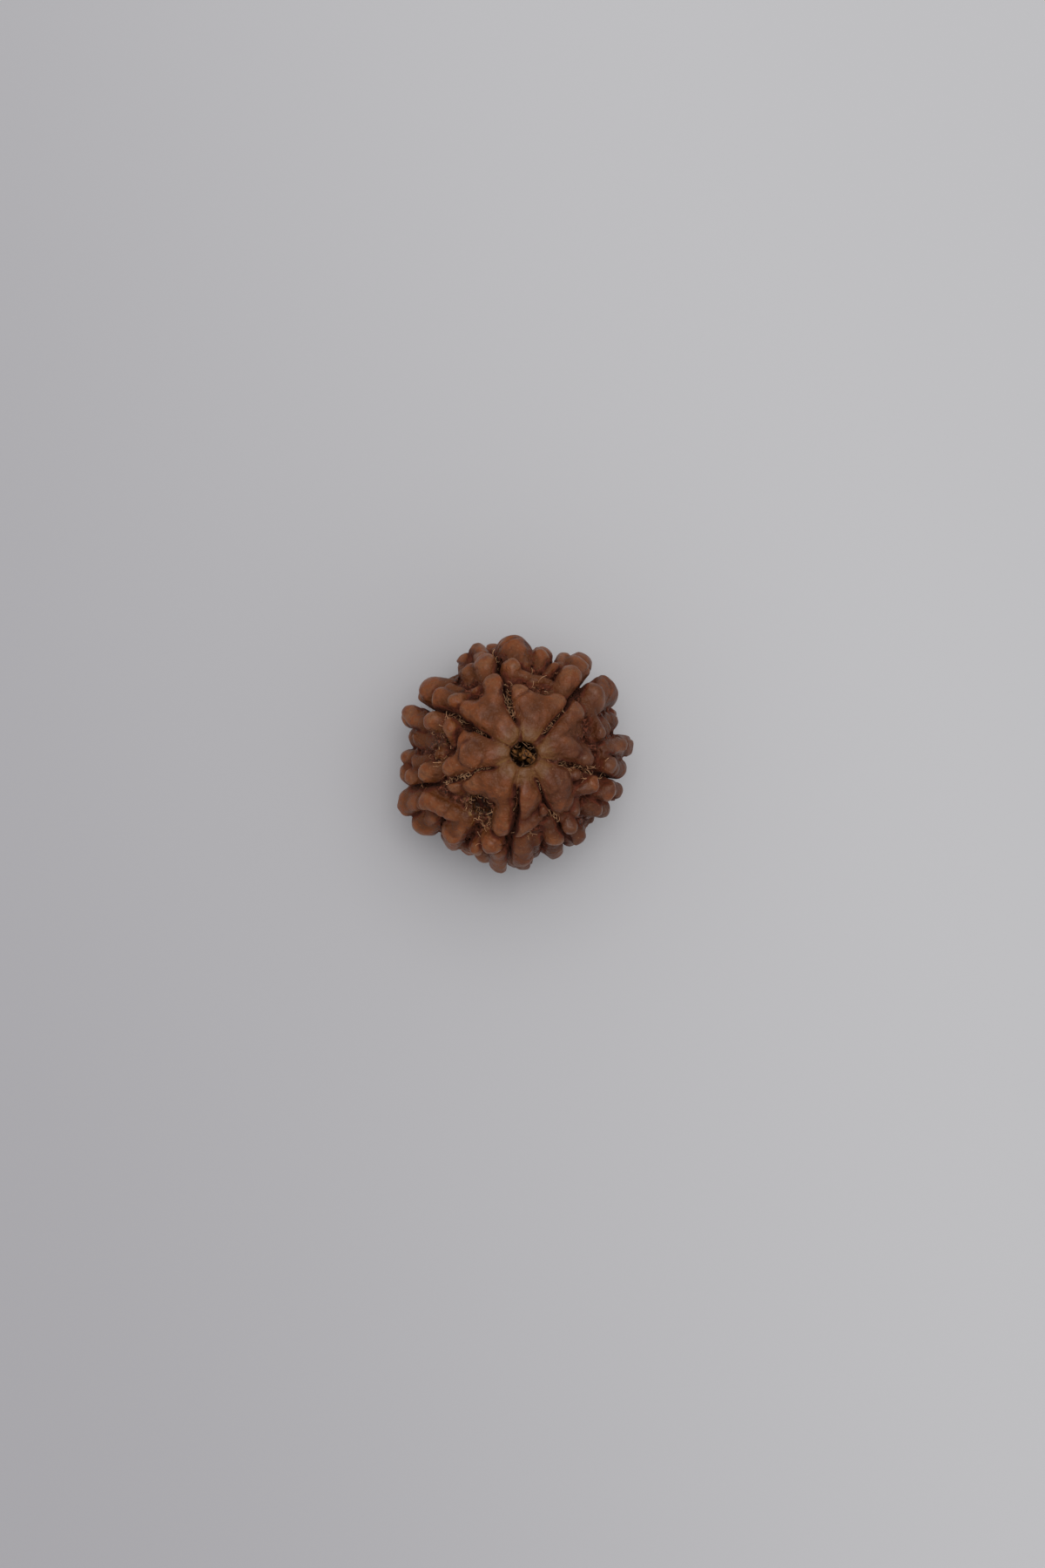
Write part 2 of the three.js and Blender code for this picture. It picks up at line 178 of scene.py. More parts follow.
BENDS = ((2.6, 0.28), (1.1, 0.1))  # sizes and depths of the wandering of lobes and furrows, none straight
SWELL_SIZE = 1.4  # shallow swellings all over
SWELL = 0.18
PORE_SIZE = 0.34  # and a fine unevenness
PORE = 0.055
WRINKLE_SIZE = 2.2  # thin creases that wander over the lobes
WRINKLE = 0.13
WRINKLE_WIDTH = 0.12
GRAIN_SIZE = 0.42  # coarse grain in the dents between lobes
GRAIN = 0.34
GRAIN_FADE = 0.4  # the grain starts at a furrow's side and is full this far from it
BULGE_REACH = 0.85  # a bulge is where the form lies above its average over this far to each side
DENT_REACH = 1.5  # and a dent is where it lies below the average over this far
DENT_FULL = 0.22

sides = [np.arange(-reach, reach + STEP, STEP) for reach in REACH]
start = np.array([side[0] for side in sides])
place = np.stack(np.meshgrid(*sides, indexing="ij")).astype(np.float32)


def soft_noise(size, seed):
    """A smooth random field over the grid, about -1 to 1, whose swellings are about size apart."""
    counts = [int(np.ptp(side) / size) + 5 for side in sides]
    field = np.random.default_rng(seed).uniform(-1, 1, counts)
    for axis, side in enumerate(sides):
        at = (side - side[0]) / size + 1
        base = np.floor(at).astype(int)
        t = at - base
        weights = np.zeros((len(side), counts[axis]))
        rows = np.arange(len(side))
        weights[rows, base - 1] = (1 - t) ** 3 / 6
        weights[rows, base] = (3 * t**3 - 6 * t**2 + 4) / 6
        weights[rows, base + 1] = (-3 * t**3 + 3 * t**2 + 3 * t + 1) / 6
        weights[rows, base + 2] = t**3 / 6
        field = np.moveaxis(np.tensordot(weights, field, (1, axis)), 0, axis)
    return (field / (2 * field.std())).astype(np.float32)


def smoothstep(value, low, high):
    t = np.clip((value - low) / (high - low), 0, 1)
    return t * t * (3 - 2 * t)


def smooth_min(a, b, blend):
    h = np.maximum(blend - np.abs(a - b), 0) / blend
    return np.minimum(a, b) - h * h * blend / 4


def blurred(field, reach):
    """The field averaged over cubes that reach this far to each side."""
    count = round(reach / STEP)
    whole = 2 * count + 1
    for axis in range(3):
        margins = [(count + 1, count) if k == axis else (0, 0) for k in range(3)]
        total = np.moveaxis(np.cumsum(np.pad(field, margins, mode="edge"), axis=axis), axis, 0)
        field = np.moveaxis((total[whole:] - total[:-whole]) / whole, 0, axis)
    return field


def direction(azimuth, polar):
    azimuth, polar = np.radians(azimuth), np.radians(polar)
    return np.array([np.sin(polar) * np.cos(azimuth), np.sin(polar) * np.sin(azimuth), np.cos(polar)])


def core_radius(sine):
    """From the middle to the surface of the core, on which the lobes stand, by the sine of the latitude."""
    across = np.sqrt(1 - np.minimum(sine * sine, 1)) / CORE_RADIUS
    along = np.abs(sine) / CORE_HALF_HEIGHT
    return (across**CORE_SQUARENESS + along**CORE_SQUARENESS) ** (-1 / CORE_SQUARENESS)


def core_point(azimuth, polar, lift):
    way = direction(azimuth, polar)
    return way * (core_radius(way[2]) + lift)


def near(points, margin):
    """The part of the grid that holds these points and a margin round them."""
    low = (np.min(points, axis=0) - margin - start) / STEP
    high = (np.max(points, axis=0) + margin - start) / STEP + 2
    return tuple(slice(max(int(a), 0), max(int(b), 0)) for a, b in zip(low, high))


def from_line(points, root, along):
    """The way from the nearest point of a line to each point, and how far along the line that is, 0 to 1."""
    column = (3, 1, 1, 1)
    offset = points - root.reshape(column)
    t = np.clip(np.tensordot(along, offset, 1) / (along @ along), 0, 1)
    return offset - along.reshape(column) * t, t


def add_lobe(body, root_azimuth, root_polar, head_azimuth, head_polar, width, rise, in_pad):
    """Joins a lobe to the body: a round finger from its root to its head, with a flat crest in a pad."""
    head_radius = width / 2
    root_radius = head_radius * ROOT_WIDTH
    root_rise = rise * (PAD_ROOT_RISE if in_pad else ROOT_RISE)
    trim = PAD_TRIM if in_pad else LOBE_TRIM
    root = core_point(root_azimuth, root_polar, root_rise + trim - root_radius)
    head = core_point(head_azimuth, head_polar, rise + trim - head_radius)
    block = near([root, head], head_radius + LOBE_MARGIN)
    here = bent[(slice(None), *block)]
    offset, t = from_line(here, root, head - root)
    square = (here * here).sum(0)
    below = np.minimum((offset * here).sum(0) / square, 0)
    distance = np.linalg.norm(offset - below * here, axis=0) + LOBE_FLANK * below * np.sqrt(square)
    distance -= root_radius + (head_radius - root_radius) * t
    if in_pad:
        crest = root_rise + (rise - root_rise) * t
        distance = -smooth_min(-distance, crest - height[block], PAD_EDGE)
    body[block] = smooth_min(body[block], distance, PAD_BLEND if in_pad else LOBE_BLEND)


def lower_lobes(index):
    """The lower half of a face repeats another face's upper lobes, turned over, between its own furrows."""
    count = len(FACES)
    width = [(FACES[(i + 1) % count][0] - FACES[i][0]) % 360 for i in range(count)]
    source = (index + LOWER_SHIFT) % count
    furrow, *_, lobes = FACES[source]

    def mirrored(azimuth):
        return FACES[index][0] + (1 - (azimuth - furrow) / width[source]) * width[index]

    return [
        (mirrored(a), 180 - p, mirrored(b), 180 - q, w, rise)
        for a, p, b, q, w, rise in lobes if q < GIRTH_POLAR
    ]


def past(index):
    """How far each point lies past a face's own furrow, towards its lobes."""
    at_pole, at_girth = FACES[index % len(FACES)][:2]
    azimuth = np.radians(at_pole + (at_girth - at_pole) * smoothstep(polar, *FURROW_BEND))
    return bent[1] * np.cos(azimuth) - bent[0] * np.sin(azimuth) - wander


radius = np.maximum(np.linalg.norm(place, axis=0), STEP)
sine = place[2] / radius
height = radius - core_radius(sine)
polar = np.degrees(np.arccos(np.minimum(np.abs(sine), 1)))
pole = 1 - smoothstep(polar, PLATFORM_FLAT, PLATFORM_END)
bent = place.copy()
for size, depth in BENDS:
    bent += depth * np.stack([soft_noise(size, seed) for seed in (11, 12, 13)])

wander = FURROW_WANDER * soft_noise(FURROW_WANDER_SIZE, 25)
aside = np.full_like(height, FAR)
begin = np.zeros_like(height)
floor_half = np.zeros_like(height)
for index, (furrow, _, furrow_polar, half_width, _) in enumerate(FACES):
    x, y, _ = direction(furrow, 90)
    across = np.where(bent[0] * x + bent[1] * y > 0, np.abs(past(index)), FAR)
    nearest = across < aside
    begin[nearest] = furrow_polar
    floor_half[nearest] = half_width
    aside = np.minimum(aside, across)
closed = 1 - smoothstep(polar, begin - FURROW_LEAD, begin + FURROW_END)

turn = np.arctan2(place[1], place[0])
turn_bend = STREAK_BEND * soft_noise(FURROW_WANDER_SIZE, 26)
streak = np.mean([np.sin(count * turn + turn_bend + count) for count in STREAKS], axis=0)

ground = height - PLATFORM_RISE * pole
form = ground
for index, (*_, lobes) in enumerate(FACES):
    pads = np.full_like(ground, FAR)
    knobs = np.full_like(ground, FAR)
    for half in (lobes, lower_lobes(index)):
        for lobe in half[:PAD_ARMS]:
            add_lobe(pads, *lobe, in_pad=True)
        for lobe in half[PAD_ARMS:]:
            add_lobe(knobs, *lobe, in_pad=False)
    face = smooth_min(knobs, pads, LOBE_BLEND)
    outside = np.maximum(-past(index), past(index + 1)) - FACE_LAP - FACE_POLE_LAP * closed
    form = smooth_min(form, -smooth_min(-face, -outside, FACE_EDGE), LOBE_BLEND)

swell = soft_noise(SWELL_SIZE, 21)
grain = 0.5 - np.minimum(2 * np.abs(soft_noise(GRAIN_SIZE, 22)), 1)
wrinkle = 1 - smoothstep(np.abs(soft_noise(WRINKLE_SIZE, 24)), 0, WRINKLE_WIDTH)
form += (SWELL * swell + WRINKLE * wrinkle) * (1 - pole) + PORE * soft_noise(PORE_SIZE, 23)
form += STREAK_DEPTH * streak * pole

opening = floor_half + (height + FURROW_DEPTH) * FURROW_FLARE - FURROW_TAPER * closed
furrow_distance = np.maximum(aside - opening, FURROW_CLIMB * closed - height - FURROW_DEPTH)
form = -smooth_min(-form, furrow_distance, FURROW_BLEND)
bulge = blurred(form, BULGE_REACH) - form
dent = smoothstep(form - blurred(form, DENT_REACH), 0, DENT_FULL)
form += GRAIN * grain * dent * (1 - pole) * smoothstep(furrow_distance, 0, GRAIN_FADE)

pits = np.full_like(form, FAR)
for azimuth, pit_polar, pit_radius, depth in PITS:
    top = core_point(azimuth, pit_polar, 1)
    bottom = core_point(azimuth, pit_polar, pit_radius - depth)
    block = near([top, bottom], pit_radius + LOBE_MARGIN)
    offset, _ = from_line(bent[(slice(None), *block)], top, bottom - top)
    pit = np.linalg.norm(offset, axis=0) - pit_radius
    form[block] = -smooth_min(-form[block], pit + GRAIN * grain[block], PIT_BLEND)
    pits[block] = np.minimum(pits[block], pit)

flare = np.clip((np.abs(place[2]) - CORE_HALF_HEIGHT) / HOLE_FLARE_DEPTH + 1, 0, 1)
hole_radius = HOLE_WAIST_RADIUS + (HOLE_MOUTH_RADIUS - HOLE_WAIST_RADIUS) * flare
hole = np.hypot(place[0], place[1]) - hole_radius + SWELL * swell + HOLE_GRAIN * (grain + streak)
form = -smooth_min(-form, hole, HOLE_BLEND)
mouth = np.array([0, 0, CORE_HALF_HEIGHT + PLATFORM_RISE])
pith = np.full_like(form, FAR)
for root, end, shred_radius in PITH:
    root, end = mouth + root, mouth + end
    block = near([root, end], shred_radius + LOBE_MARGIN)
    offset, _ = from_line(place[(slice(None), *block)], root, end - root)
    shred = np.linalg.norm(offset, axis=0) - shred_radius + PITH_GRAIN * grain[block]
    form[block] = smooth_min(form[block], shred, PITH_BLEND)
    pith[block] = np.minimum(pith[block], shred)
form = np.maximum(form, -STAND_HEIGHT - place[2])

grid = openvdb.FloatGrid()
grid.copyFromArray(form)
points, quads = grid.convertToQuads(0.0)

# Specks cut off inside the wood are dropped: the skin is the body with the most vertices.
body = np.arange(len(points))
while True:
    lowest = body.copy()
    np.minimum.at(lowest, quads.ravel(), np.repeat(body[quads].min(1), 4))
    lowest = lowest[lowest]
    if np.array_equal(lowest, body):
        break
    body = lowest
kept = body == np.bincount(body).argmax()
quads = (np.cumsum(kept) - 1)[quads[kept[quads[:, 0]]]]
points = points[kept] * STEP + start + (0, 0, STAND_HEIGHT)


def plain_mesh(thing, name):
    """The object's evaluated mesh, as a mesh of its own."""
    graph = bpy.context.evaluated_depsgraph_get()
    made = bpy.data.meshes.new_from_object(thing.evaluated_get(graph))
    made.name = name
    return made


def shown(name, mesh):
    thing = bpy.data.objects.new(name, mesh)
    bpy.context.scene.collection.objects.link(thing)
    return thing


fine = bpy.data.meshes.new("stone_fine")
fine.from_pydata(points * MM, [], quads)
stone = shown("stone", fine)
thinner = stone.modifiers.new("thinner", "DECIMATE")
thinner.ratio = STONE_TRIANGLES / (2 * len(quads))
stone.data = plain_mesh(stone, "stone")
stone.modifiers.remove(thinner)
bpy.data.meshes.remove(fine)
stone.data.shade_smooth()

HOLLOW_REACHES = (0.4, 1.1)
CREASE_REACH = 0.2


def sample(field, at):
    """The field's values between the points of the grid."""
    at = (at - start) / STEP
    base = np.clip(np.floor(at).astype(int), 0, np.array(field.shape) - 2)
    t = at - base
    total = np.zeros(len(at))
    for corner in np.ndindex(2, 2, 2):
        weight = np.prod(np.where(corner, t, 1 - t), axis=1)
        total += weight * field[tuple((base + corner).T)]
    return total


points = np.zeros(3 * len(stone.data.vertices))
stone.data.vertices.foreach_get("co", points)
points = points.reshape(-1, 3) / MM - (0, 0, STAND_HEIGHT)
slopes = np.stack([sample(slope, points) for slope in np.gradient(form, STEP)], axis=1)
normals = slopes / np.linalg.norm(slopes, axis=1, keepdims=True)


def openness(reach):
    """How open the surface is to its surroundings: 1 in the open, 0 at the bottom of a crack."""
    return np.clip(sample(form, points + normals * reach) / reach, 0, 1)


def note(name, values):
    """Keeps a value for each vertex of the stone, for its material and its fibres to read."""
    stone.data.attributes.new(name, "FLOAT", "POINT").data.foreach_set("value", values.astype(np.float32))


hollow = 1 - np.mean([openness(reach) for reach in HOLLOW_REACHES], axis=0)
level = sample(height, points)
from_pole = sample(polar, points)
from_axis = np.hypot(points[:, 0], points[:, 1])
past_mouth = from_axis + HOLE_SHADE_WANDER * sample(swell, points) - HOLE_MOUTH_RADIUS
in_pith = 1 - smoothstep(sample(pith, points), *PITH_STAIN)
note("hollow", hollow)
note("level", level)
note("from_pole", from_pole)
note("in_hole", (1 - smoothstep(past_mouth, *HOLE_SHADE)) * (1 - in_pith))
note("pith", in_pith)
note("in_pit", 1 - smoothstep(sample(pits, points), 0, PIT_SHADE))
note("dent", sample(dent, points))
note("bulge", sample(bulge, points))
note("streak", sample(streak, points))
note("crease", 1 - openness(CREASE_REACH))


class Socket:
    """A node's output, which Python's operators turn into Math nodes. An empty one starts off a tree."""

    def __init__(self, tree, socket=None):
        self.tree = tree
        self.socket = socket

    def node(self, kind, settings=None, output=0, inputs=None, **named):
        """Adds a node, sets its settings first and then its sockets, and gives one of its outputs."""
        made = self.tree.nodes.new(kind)
        for name, value in (settings or {}).items():
            setattr(made, name, value)
        for name, value in named.items():
            self.feed(value, made.inputs[name.replace("_", " ")])
        for number, value in (inputs or {}).items():
            self.feed(value, made.inputs[number])
        return Socket(self.tree, made.outputs[output])

    def feed(self, value, socket):
        """Links a Socket, or each in a list, to a socket of another node, or sets a plain value there."""
        for one in value if isinstance(value, list) else [value]:
            if isinstance(one, Socket):
                self.tree.links.new(one.socket, socket)
            else:
                socket.default_value = one

    def beside(self, output):
        """Another output of the same node."""
        return Socket(self.tree, self.socket.node.outputs[output])

    def maths(self, operation, *values):
        """A Math node on these values."""
        return self.node("ShaderNodeMath", {"operation": operation}, inputs=dict(enumerate(values)))

    def __add__(self, other):
        return self.maths("ADD", self, other)

    def __sub__(self, other):
        return self.maths("SUBTRACT", self, other)

    def __mul__(self, other):
        return self.maths("MULTIPLY", self, other)

    def __rsub__(self, other):
        return self.maths("SUBTRACT", other, self)

    __radd__ = __add__
    __rmul__ = __mul__

    def step(self, low, high):
        """0 below low, 1 above high, and a smooth rise between; the other way round if low is the higher."""
        smooth = {"interpolation_type": "SMOOTHSTEP"}
        ends = {1: min(low, high), 2: max(low, high), 3: float(low > high), 4: float(low < high)}
        return self.node("ShaderNodeMapRange", smooth, inputs={0: self, **ends})

    def layers(self, colour, *coats):
        """A colour with others laid over it in turn, each as (share, colour)."""
        for share, over in coats:
            mixed = {0: share, 6: colour, 7: over}
            colour = self.node("ShaderNodeMix", {"data_type": "RGBA"}, 2, mixed)
        return colour


def srgb(code):
    """A colour from its hexadecimal code, in the linear form that sockets take."""
    parts = [int(code[k : k + 2], 16) / 255 for k in (1, 3, 5)]
    linear = [p / 12.92 if p <= 0.04045 else ((p + 0.055) / 1.055) ** 2.4 for p in parts]
    return (*linear, 1)


def surface(name, specular):
    """A new material, its shader's sockets, a Socket to build its nodes from, and its Object coordinates."""
    material = bpy.data.materials.new(name)
    material.use_nodes = True
    shader = material.node_tree.nodes["Principled BSDF"].inputs
    shader["Specular IOR Level"].default_value = specular
    build = Socket(material.node_tree)
    return material, shader, build, build.node("ShaderNodeTexCoord", output="Object")


def mottle(size, detail=3, roughness=0.6):
    """Noise of 0 to 1 on the piece itself, with patches about size millimetres across."""
    scale = 1 / (size * MM)
    return build.node("ShaderNodeTexNoise", Vector=at, Scale=scale, Detail=detail, Roughness=roughness)


def noted(name):
    return build.node("ShaderNodeAttribute", {"attribute_name": name}, "Fac")


PAD_COLOUR = srgb("#633413")
# the crests' own more orange brown, made lighter as a painted highlight
TIP_TONE_AND_HIGHLIGHT_COLOUR = srgb("#7f4118")
# pale patches on the highest crests: part wear, part painted highlight
WEAR_AND_HIGHLIGHT_COLOUR = srgb("#9c6840")
# a paler, greyer brown in blotches: painted sheen
PAINTED_SHEEN_COLOUR = srgb("#6a3c1f")
# a darker brown: in large patches over the lower right, and in small patches at random
DARK_PATCH_COLOUR = srgb("#4d2717")
RIM_COLOUR = srgb("#744a27")
STREAK_COLOUR = srgb("#8d6437")
SPECK_COLOUR = srgb("#b08a66")
# the hollows' own redder brown, darkened as painted shade
HOLLOW_RED_AND_SHADE_COLOUR = srgb("#6a321f")
# painted shade for the deepest hollows and the dents
CRACK_SHADE_COLOUR = srgb("#502717")
# painted shade for the narrow creases
CREASE_SHADE_COLOUR = srgb("#482014")
GRANULE_COLOUR = srgb("#94523b")
STRAW_COLOUR = srgb("#a8834f")
# painted shade, near black: for the hole, the pits and the gaps of the grain
DEEP_SHADE_COLOUR = srgb("#1f0f0b")
PITH_COLOUR = srgb("#8a5a2e")
BUMP_HEIGHT = 0.4

skin, shader, build, at = surface("oiled_stone", specular=0.2)
east = build.node("ShaderNodeSeparateXYZ", Vector=at)
north = east.beside(1)
# the stone is made darker towards the lower right of the picture, in large patches
lower_right = (0.9 * east - 0.4 * north).step(0, 5 * MM)
# how shut in the surface is, like ambient occlusion; below it sets painted shade in the hollows, and their
# dullness and oil
hollowness = noted("hollow") + 0.3 * (mottle(0.5) - 0.5)
# the crests and pad edges; their lighter colour is partly their own tone and partly a painted highlight
tip = noted("bulge").step(0.03, 0.2) * noted("level").step(0.9, 1.6)
# patches on the highest crests, lighter partly from wear and partly as a painted highlight
wear_and_highlight = tip * noted("bulge").step(0.1, 0.25) * mottle(0.9, 4).step(0.4, 0.65)
rim = (noted("from_pole") + 8 * noted("level") + 5 * mottle(1.2)).step(32, 26)
dented = noted("dent")
skin_colour = build.layers(
    PAD_COLOUR,
    # lighter crests: their own tone and a painted highlight
    (tip, TIP_TONE_AND_HIGHLIGHT_COLOUR),
    # wear and painted highlight on the highest crests
    (0.6 * wear_and_highlight, WEAR_AND_HIGHLIGHT_COLOUR),
    # darker towards the lower right
    (0.65 * lower_right * mottle(3).step(0.3, 0.5), DARK_PATCH_COLOUR),
    # painted sheen, in blotches
    (0.7 * mottle(0.9, 5, 0.7).step(0.46, 0.68), PAINTED_SHEEN_COLOUR),
    (0.4 * mottle(0.8, 5, 0.7).step(0.52, 0.3), DARK_PATCH_COLOUR),
    (rim * mottle(0.7).step(0.25, 0.5), RIM_COLOUR),
    (0.6 * rim * noted("streak").step(-0.1, -0.6), STREAK_COLOUR),
    (0.7 * rim * noted("streak").step(0.1, 0.6), PAD_COLOUR),
    (0.3 * mottle(0.2, 1).step(0.68, 0.8), SPECK_COLOUR),
    # painted shade in the hollows, over their own redder brown
    (hollowness.step(0.25, 0.6), HOLLOW_RED_AND_SHADE_COLOUR),
    # painted shade in the dents between lobes
    (0.7 * dented, CRACK_SHADE_COLOUR),
    (0.8 * dented * mottle(0.28, 2).step(0.52, 0.6), GRANULE_COLOUR),
    # painted shade in the gaps of the dents' grain
    (0.7 * dented * mottle(0.24, 2).step(0.48, 0.38), DEEP_SHADE_COLOUR),
    # painted shade, deepest at the bottom of the cracks
    (hollowness.step(0.6, 0.95), CRACK_SHADE_COLOUR),
    # painted shade inside the pits
    (0.9 * noted("in_pit") * mottle(0.35, 2).step(0.3, 0.5), DEEP_SHADE_COLOUR),
    (0.6 * noted("rooted") * mottle(0.2, 2).step(0.5, 0.62), STRAW_COLOUR),
    # painted shade in the narrow creases between knobs
    (0.8 * noted("crease").step(0.12, 0.6), CREASE_SHADE_COLOUR),
    # painted shade inside the hole
    (0.95 * noted("in_hole"), DEEP_SHADE_COLOUR),
    (noted("pith"), PITH_COLOUR),
    # painted shade between the pith's grains
    (0.85 * noted("pith") * mottle(0.3, 3).step(0.5, 0.6), DEEP_SHADE_COLOUR),
)
dullness = 0.45 + 0.4 * hollowness.step(0.2, 0.7) + 0.2 * (mottle(0.4) - 0.5)
oil = (0.1 + 0.22 * tip) * hollowness.step(0.45, 0.1)
relief = mottle(0.5, 2, 0.5) * (0.8 + 1.2 * dented)
bump = build.node("ShaderNodeBump", Strength=1.0, Distance=BUMP_HEIGHT * MM, Height=relief)
build.feed(skin_colour, shader["Base Color"])
build.feed(dullness, shader["Roughness"])
build.feed(oil, shader["Coat Weight"])
build.feed(bump, shader["Normal"])
shader["Coat Roughness"].default_value = 0.3
shader["Sheen Weight"].default_value = 0.04
shader["Sheen Roughness"].default_value = 0.4
shader["Sheen Tint"].default_value = SPECK_COLOUR
stone.data.materials.append(skin)

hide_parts("bead")
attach(stone, "root")

# The fibres
# Dry threads of the fruit's flesh that cleaning left behind: pale straw, thin as hair and curled, rooted in
# the furrows, in the pits and round the mouth of the hole. They cling where they grew.

FIBRE_RADIUS = 0.035
FIBRE_SIDES = 3
FIBRE_DENSITY = 12  # roots to a square millimetre where they stand closest
FIBRE_SEED = 5
FIBRE_CLEAR = 1.5  # none is rooted closer than this to what the bead stands on
FIBRE_FLOOR = -1.2  # nor deeper than this under the core's surface
FIBRE_SCALE = (0.3, 0.75)  # of the curls below, at random
FIBRE_LEAN = (0.9, 0.9, 3.1)  # about each axis, in radians to either side
FIBRE_COLOUR = srgb("#e6b285")
FIBRE_DARK = srgb("#985a3a")
CURLS = [  # turns of the curl, radius at its root, radius at its tip, rise
    (0.3, 0.5, 0.7, 0.3),
    (0.5, 0.25, 0.4, 0.35),
    (0.45, 0.3, 0.6, 0.5),
    (0.2, 1, 1.2, 0.35),
]
CURL_POINTS = 7
TUFTS = [  # azimuth, polar angle and spread of the thickest tufts
    (107, 19, 0.5), (107, 25, 0.6), (105, 31, 0.5), (47, 17, 0.35), (47, 23, 0.5), (46, 30, 0.5),
    (-17, 29, 0.5), (-15, 35, 0.6), (298, 17, 0.4), (299, 21, 0.4), (241, 43, 0.7), (228, 37, 0.6),
    (222, 43, 0.6), (200, 24, 0.5), (200, 33, 0.6), (200, 43, 0.6), (153, 28, 0.5), (152, 44, 0.6),
    (155, 50, 0.6), (167, 49, 0.6), (177, 56, 0.7), (66, 39, 0.5), (275, 48, 0.5), (298, 39, 0.5),
    (308, 10, 0.35), (262, 24, 0.4), (261, 33, 0.4), (184, 50, 0.5), (345, 45, 0.5), (80, 47, 0.5),
    (232, 45, 0.7), (236, 50, 0.6), (244, 50, 0.6), (229, 50, 0.5), (200, 17, 0.3), (313, 12, 0.3),
    (307, 14, 0.35), (303, 18, 0.4), (301, 24, 0.4),
]
TUFT_LIFT = 0.4
TUFT_HOLLOW = (0, 0.15)  # how hollow the place is where a tuft starts to grow and where it is full
PATCH_SIZE = 2.2  # thinner growth comes in patches, in furrows and in deep hollows
PATCH_EDGE = (0.1, 0.9)
PATCH_HOLLOW = (0.3, 0.6)
FURROW_SHARE = 0.45
FURROW_SIDE = (0.3, 0.7)
FURROW_FAR = 3
HOLLOW_SHARE = 0.06
GIRTH_LOSS = 0.7
GIRTH_EDGE = (55, 75)

rooted = np.zeros(len(points))
for azimuth, tuft_polar, spread in TUFTS:
    away = np.linalg.norm(points - core_point(azimuth, tuft_polar, TUFT_LIFT), axis=1)
    rooted = np.maximum(rooted, np.exp(-((away / spread) ** 2)))
rooted *= smoothstep(hollow, *TUFT_HOLLOW)
patches = smoothstep(sample(soft_noise(PATCH_SIZE, 31), points), *PATCH_EDGE)
in_furrow = 1 - smoothstep(sample(np.minimum(aside, FURROW_FAR), points), *FURROW_SIDE)
scattered = patches * np.maximum(FURROW_SHARE * in_furrow, HOLLOW_SHARE) * smoothstep(hollow, *PATCH_HOLLOW)
scattered *= 1 - GIRTH_LOSS * smoothstep(from_pole, *GIRTH_EDGE)
allowed = (level > FIBRE_FLOOR) & (from_axis > HOLE_MOUTH_RADIUS)
allowed &= points[:, 2] > FIBRE_CLEAR - STAND_HEIGHT
note("rooted", np.maximum(rooted, scattered) * allowed)

straw, shader, build, at = surface("dry_fibre", specular=0.2)
fibre_colour = build.layers(FIBRE_DARK, (mottle(0.9).step(0.3, 0.62), FIBRE_COLOUR))
build.feed(fibre_colour, shader["Base Color"])
shader["Roughness"].default_value = 0.6

tree = bpy.data.node_groups.new("furrow_fibres", "GeometryNodeTree")
tree.is_modifier = True
ports = {}
for name, kind in (("Stone", "Geometry"), ("Density", "Float"), ("Seed", "Int"), ("Radius", "Float")):
    port = tree.interface.new_socket(name, in_out="INPUT", socket_type="NodeSocket" + kind)
    ports[name] = port.identifier
tree.interface.new_socket("Fibres", in_out="OUTPUT", socket_type="NodeSocketGeometry")

grow = Socket(tree)
given = grow.node("NodeGroupInput")
ring = grow.node("GeometryNodeCurvePrimitiveCircle", Resolution=FIBRE_SIDES, Radius=given.beside("Radius"))
kinds = []
for turns, root_turn, tip_turn, rise in CURLS:
    curl = grow.node("GeometryNodeCurveSpiral", Resolution=round(CURL_POINTS / turns), Rotations=turns,
                     Start_Radius=root_turn * MM, End_Radius=tip_turn * MM, Height=rise * MM)
    moved = grow.node("GeometryNodeTransform", Geometry=curl, Translation=(-root_turn * MM, 0, 0))
    thread = grow.node("GeometryNodeCurveToMesh", Curve=moved, Profile_Curve=ring, Fill_Caps=True)
    kinds.append(grow.node("GeometryNodeGeometryToInstance", Geometry=thread))
kinds = grow.node("GeometryNodeJoinGeometry", Geometry=kinds)
share = grow.node("GeometryNodeInputNamedAttribute", {"data_type": "FLOAT"}, "Attribute", Name="rooted")
roots = grow.node("GeometryNodeDistributePointsOnFaces", Mesh=given.beside("Stone"),
                  Density=share * given.beside("Density"), Seed=given.beside("Seed"))


def drawn(kind, low, high, seed):
    """A random value for each root."""
    return grow.node("FunctionNodeRandomValue", {"data_type": kind}, "Value", Min=low, Max=high, Seed=seed)


which = drawn("INT", 0, len(CURLS) - 1, 1)
lean = drawn("FLOAT_VECTOR", tuple(-angle for angle in FIBRE_LEAN), FIBRE_LEAN, 2)
length = drawn("FLOAT", *FIBRE_SCALE, 3)
leaning = grow.node("FunctionNodeEulerToRotation", Euler=lean)
lie = grow.node("FunctionNodeRotateRotation", {"rotation_space": "LOCAL"},
                Rotation=roots.beside("Rotation"), Rotate_By=leaning)
placed = grow.node("GeometryNodeInstanceOnPoints", Points=roots, Instance=kinds, Pick_Instance=True,
                   Instance_Index=which, Rotation=lie, Scale=length)
real = grow.node("GeometryNodeRealizeInstances", Geometry=placed)
dressed = grow.node("GeometryNodeSetMaterial", Geometry=real, Material=straw)
grow.feed(dressed, tree.nodes.new("NodeGroupOutput").inputs[0])

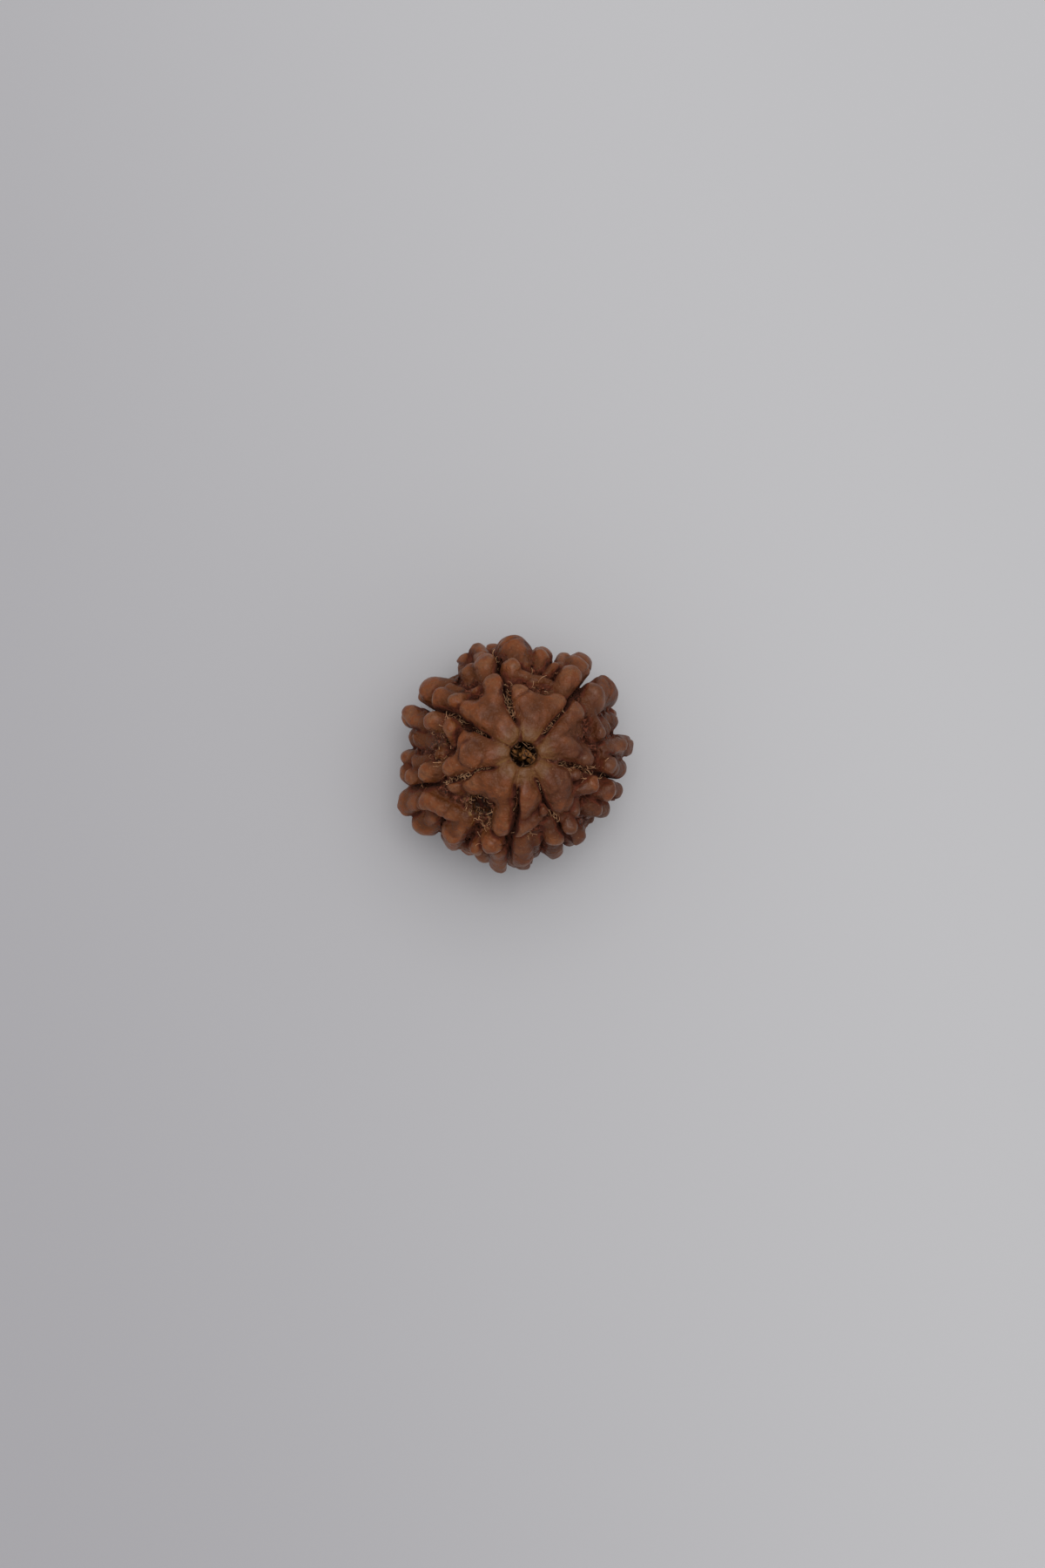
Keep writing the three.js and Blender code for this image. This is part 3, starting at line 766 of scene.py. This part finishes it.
base = shown("fibre_base", stone.data)
growth = base.modifiers.new("growth", "NODES")
growth.node_group = tree
growth[ports["Density"]] = FIBRE_DENSITY / MM**2
growth[ports["Seed"]] = FIBRE_SEED
growth[ports["Radius"]] = FIBRE_RADIUS * MM
fibres = shown("fibres", plain_mesh(base, "fibres"))
bpy.data.objects.remove(base)
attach(fibres, "root")

# The floor, the light and the view
# The bead stands on a pale matt sheet under wide, soft light from above, a little stronger from the top of
# the picture. The sheet's colour carries the slow fall of that light from one side to the other. The camera
# looks almost straight down the hole.

FLOOR_SIDE = 3
FLOOR_COLOUR = srgb("#d3d2d3")
FLOOR_DIM_COLOUR = srgb("#b8b6b9")
FLOOR_BRIGHT_END = 45 * MM
FLOOR_DIM_END = -80 * MM
edge = FLOOR_SIDE / 2
corners = [(-edge, -edge, 0), (edge, -edge, 0), (edge, edge, 0), (-edge, edge, 0)]
sheet = bpy.data.meshes.new("floor")
sheet.from_pydata(corners, [], [(0, 1, 2, 3)])
floor = shown("floor", sheet)
paper, shader, build, at = surface("matt_sheet", specular=0.1)
east = build.node("ShaderNodeSeparateXYZ", Vector=at)
dimness = (east + 0.3 * east.beside(1)).step(FLOOR_BRIGHT_END, FLOOR_DIM_END)
build.feed(build.layers(FLOOR_COLOUR, (dimness, FLOOR_DIM_COLOUR)), shader["Base Color"])
shader["Roughness"].default_value = 0.9
sheet.materials.append(paper)

scene = bpy.context.scene
scene.view_settings.view_transform = "Standard"
scene.world = bpy.data.worlds.new("soft_room")
scene.world.use_nodes = True
room = scene.world.node_tree.nodes["Background"].inputs
room["Color"].default_value = srgb("#c8c9cc")
room["Strength"].default_value = 0.7

LIGHTS = {  # where each comes from, its spread in degrees and its power
    "soft_light": ((0.03, 0.24, 1), 60, 0.78),
    "small_light": ((-0.03, 0.14, 1), 24, 0.5),
}
for name, (way, spread, power) in LIGHTS.items():
    light = bpy.data.lights.new(name, "SUN")
    light.angle = math.radians(spread)
    light.energy = power
    hung = bpy.data.objects.new(name, light)
    hung.rotation_euler = Vector(way).to_track_quat("Z", "Y").to_euler()
    scene.collection.objects.link(hung)

VIEW_TILT = math.radians(4.55)
VIEW_DISTANCE = 380 * MM
VIEW_WIDTH = 92.66 * MM
VIEW_FROM = Vector((0.618 * MM, -2.61 * MM, VIEW_DISTANCE))  # right, up and back from the stone's middle
right = Vector((math.cos(VIEW_TILT), 0, math.sin(VIEW_TILT)))
up = Vector((0, 1, 0))
facing = Matrix((right, up, right.cross(up))).transposed()
lens = bpy.data.cameras.new("view")
lens.sensor_fit = "HORIZONTAL"
lens.lens = lens.sensor_width * VIEW_DISTANCE / VIEW_WIDTH
lens.clip_start = 10 * MM
camera = bpy.data.objects.new("view", lens)
camera.matrix_world = facing.to_4x4()
camera.location = Vector((0, 0, STAND_HEIGHT * MM)) + facing @ VIEW_FROM
scene.collection.objects.link(camera)
scene.camera = camera
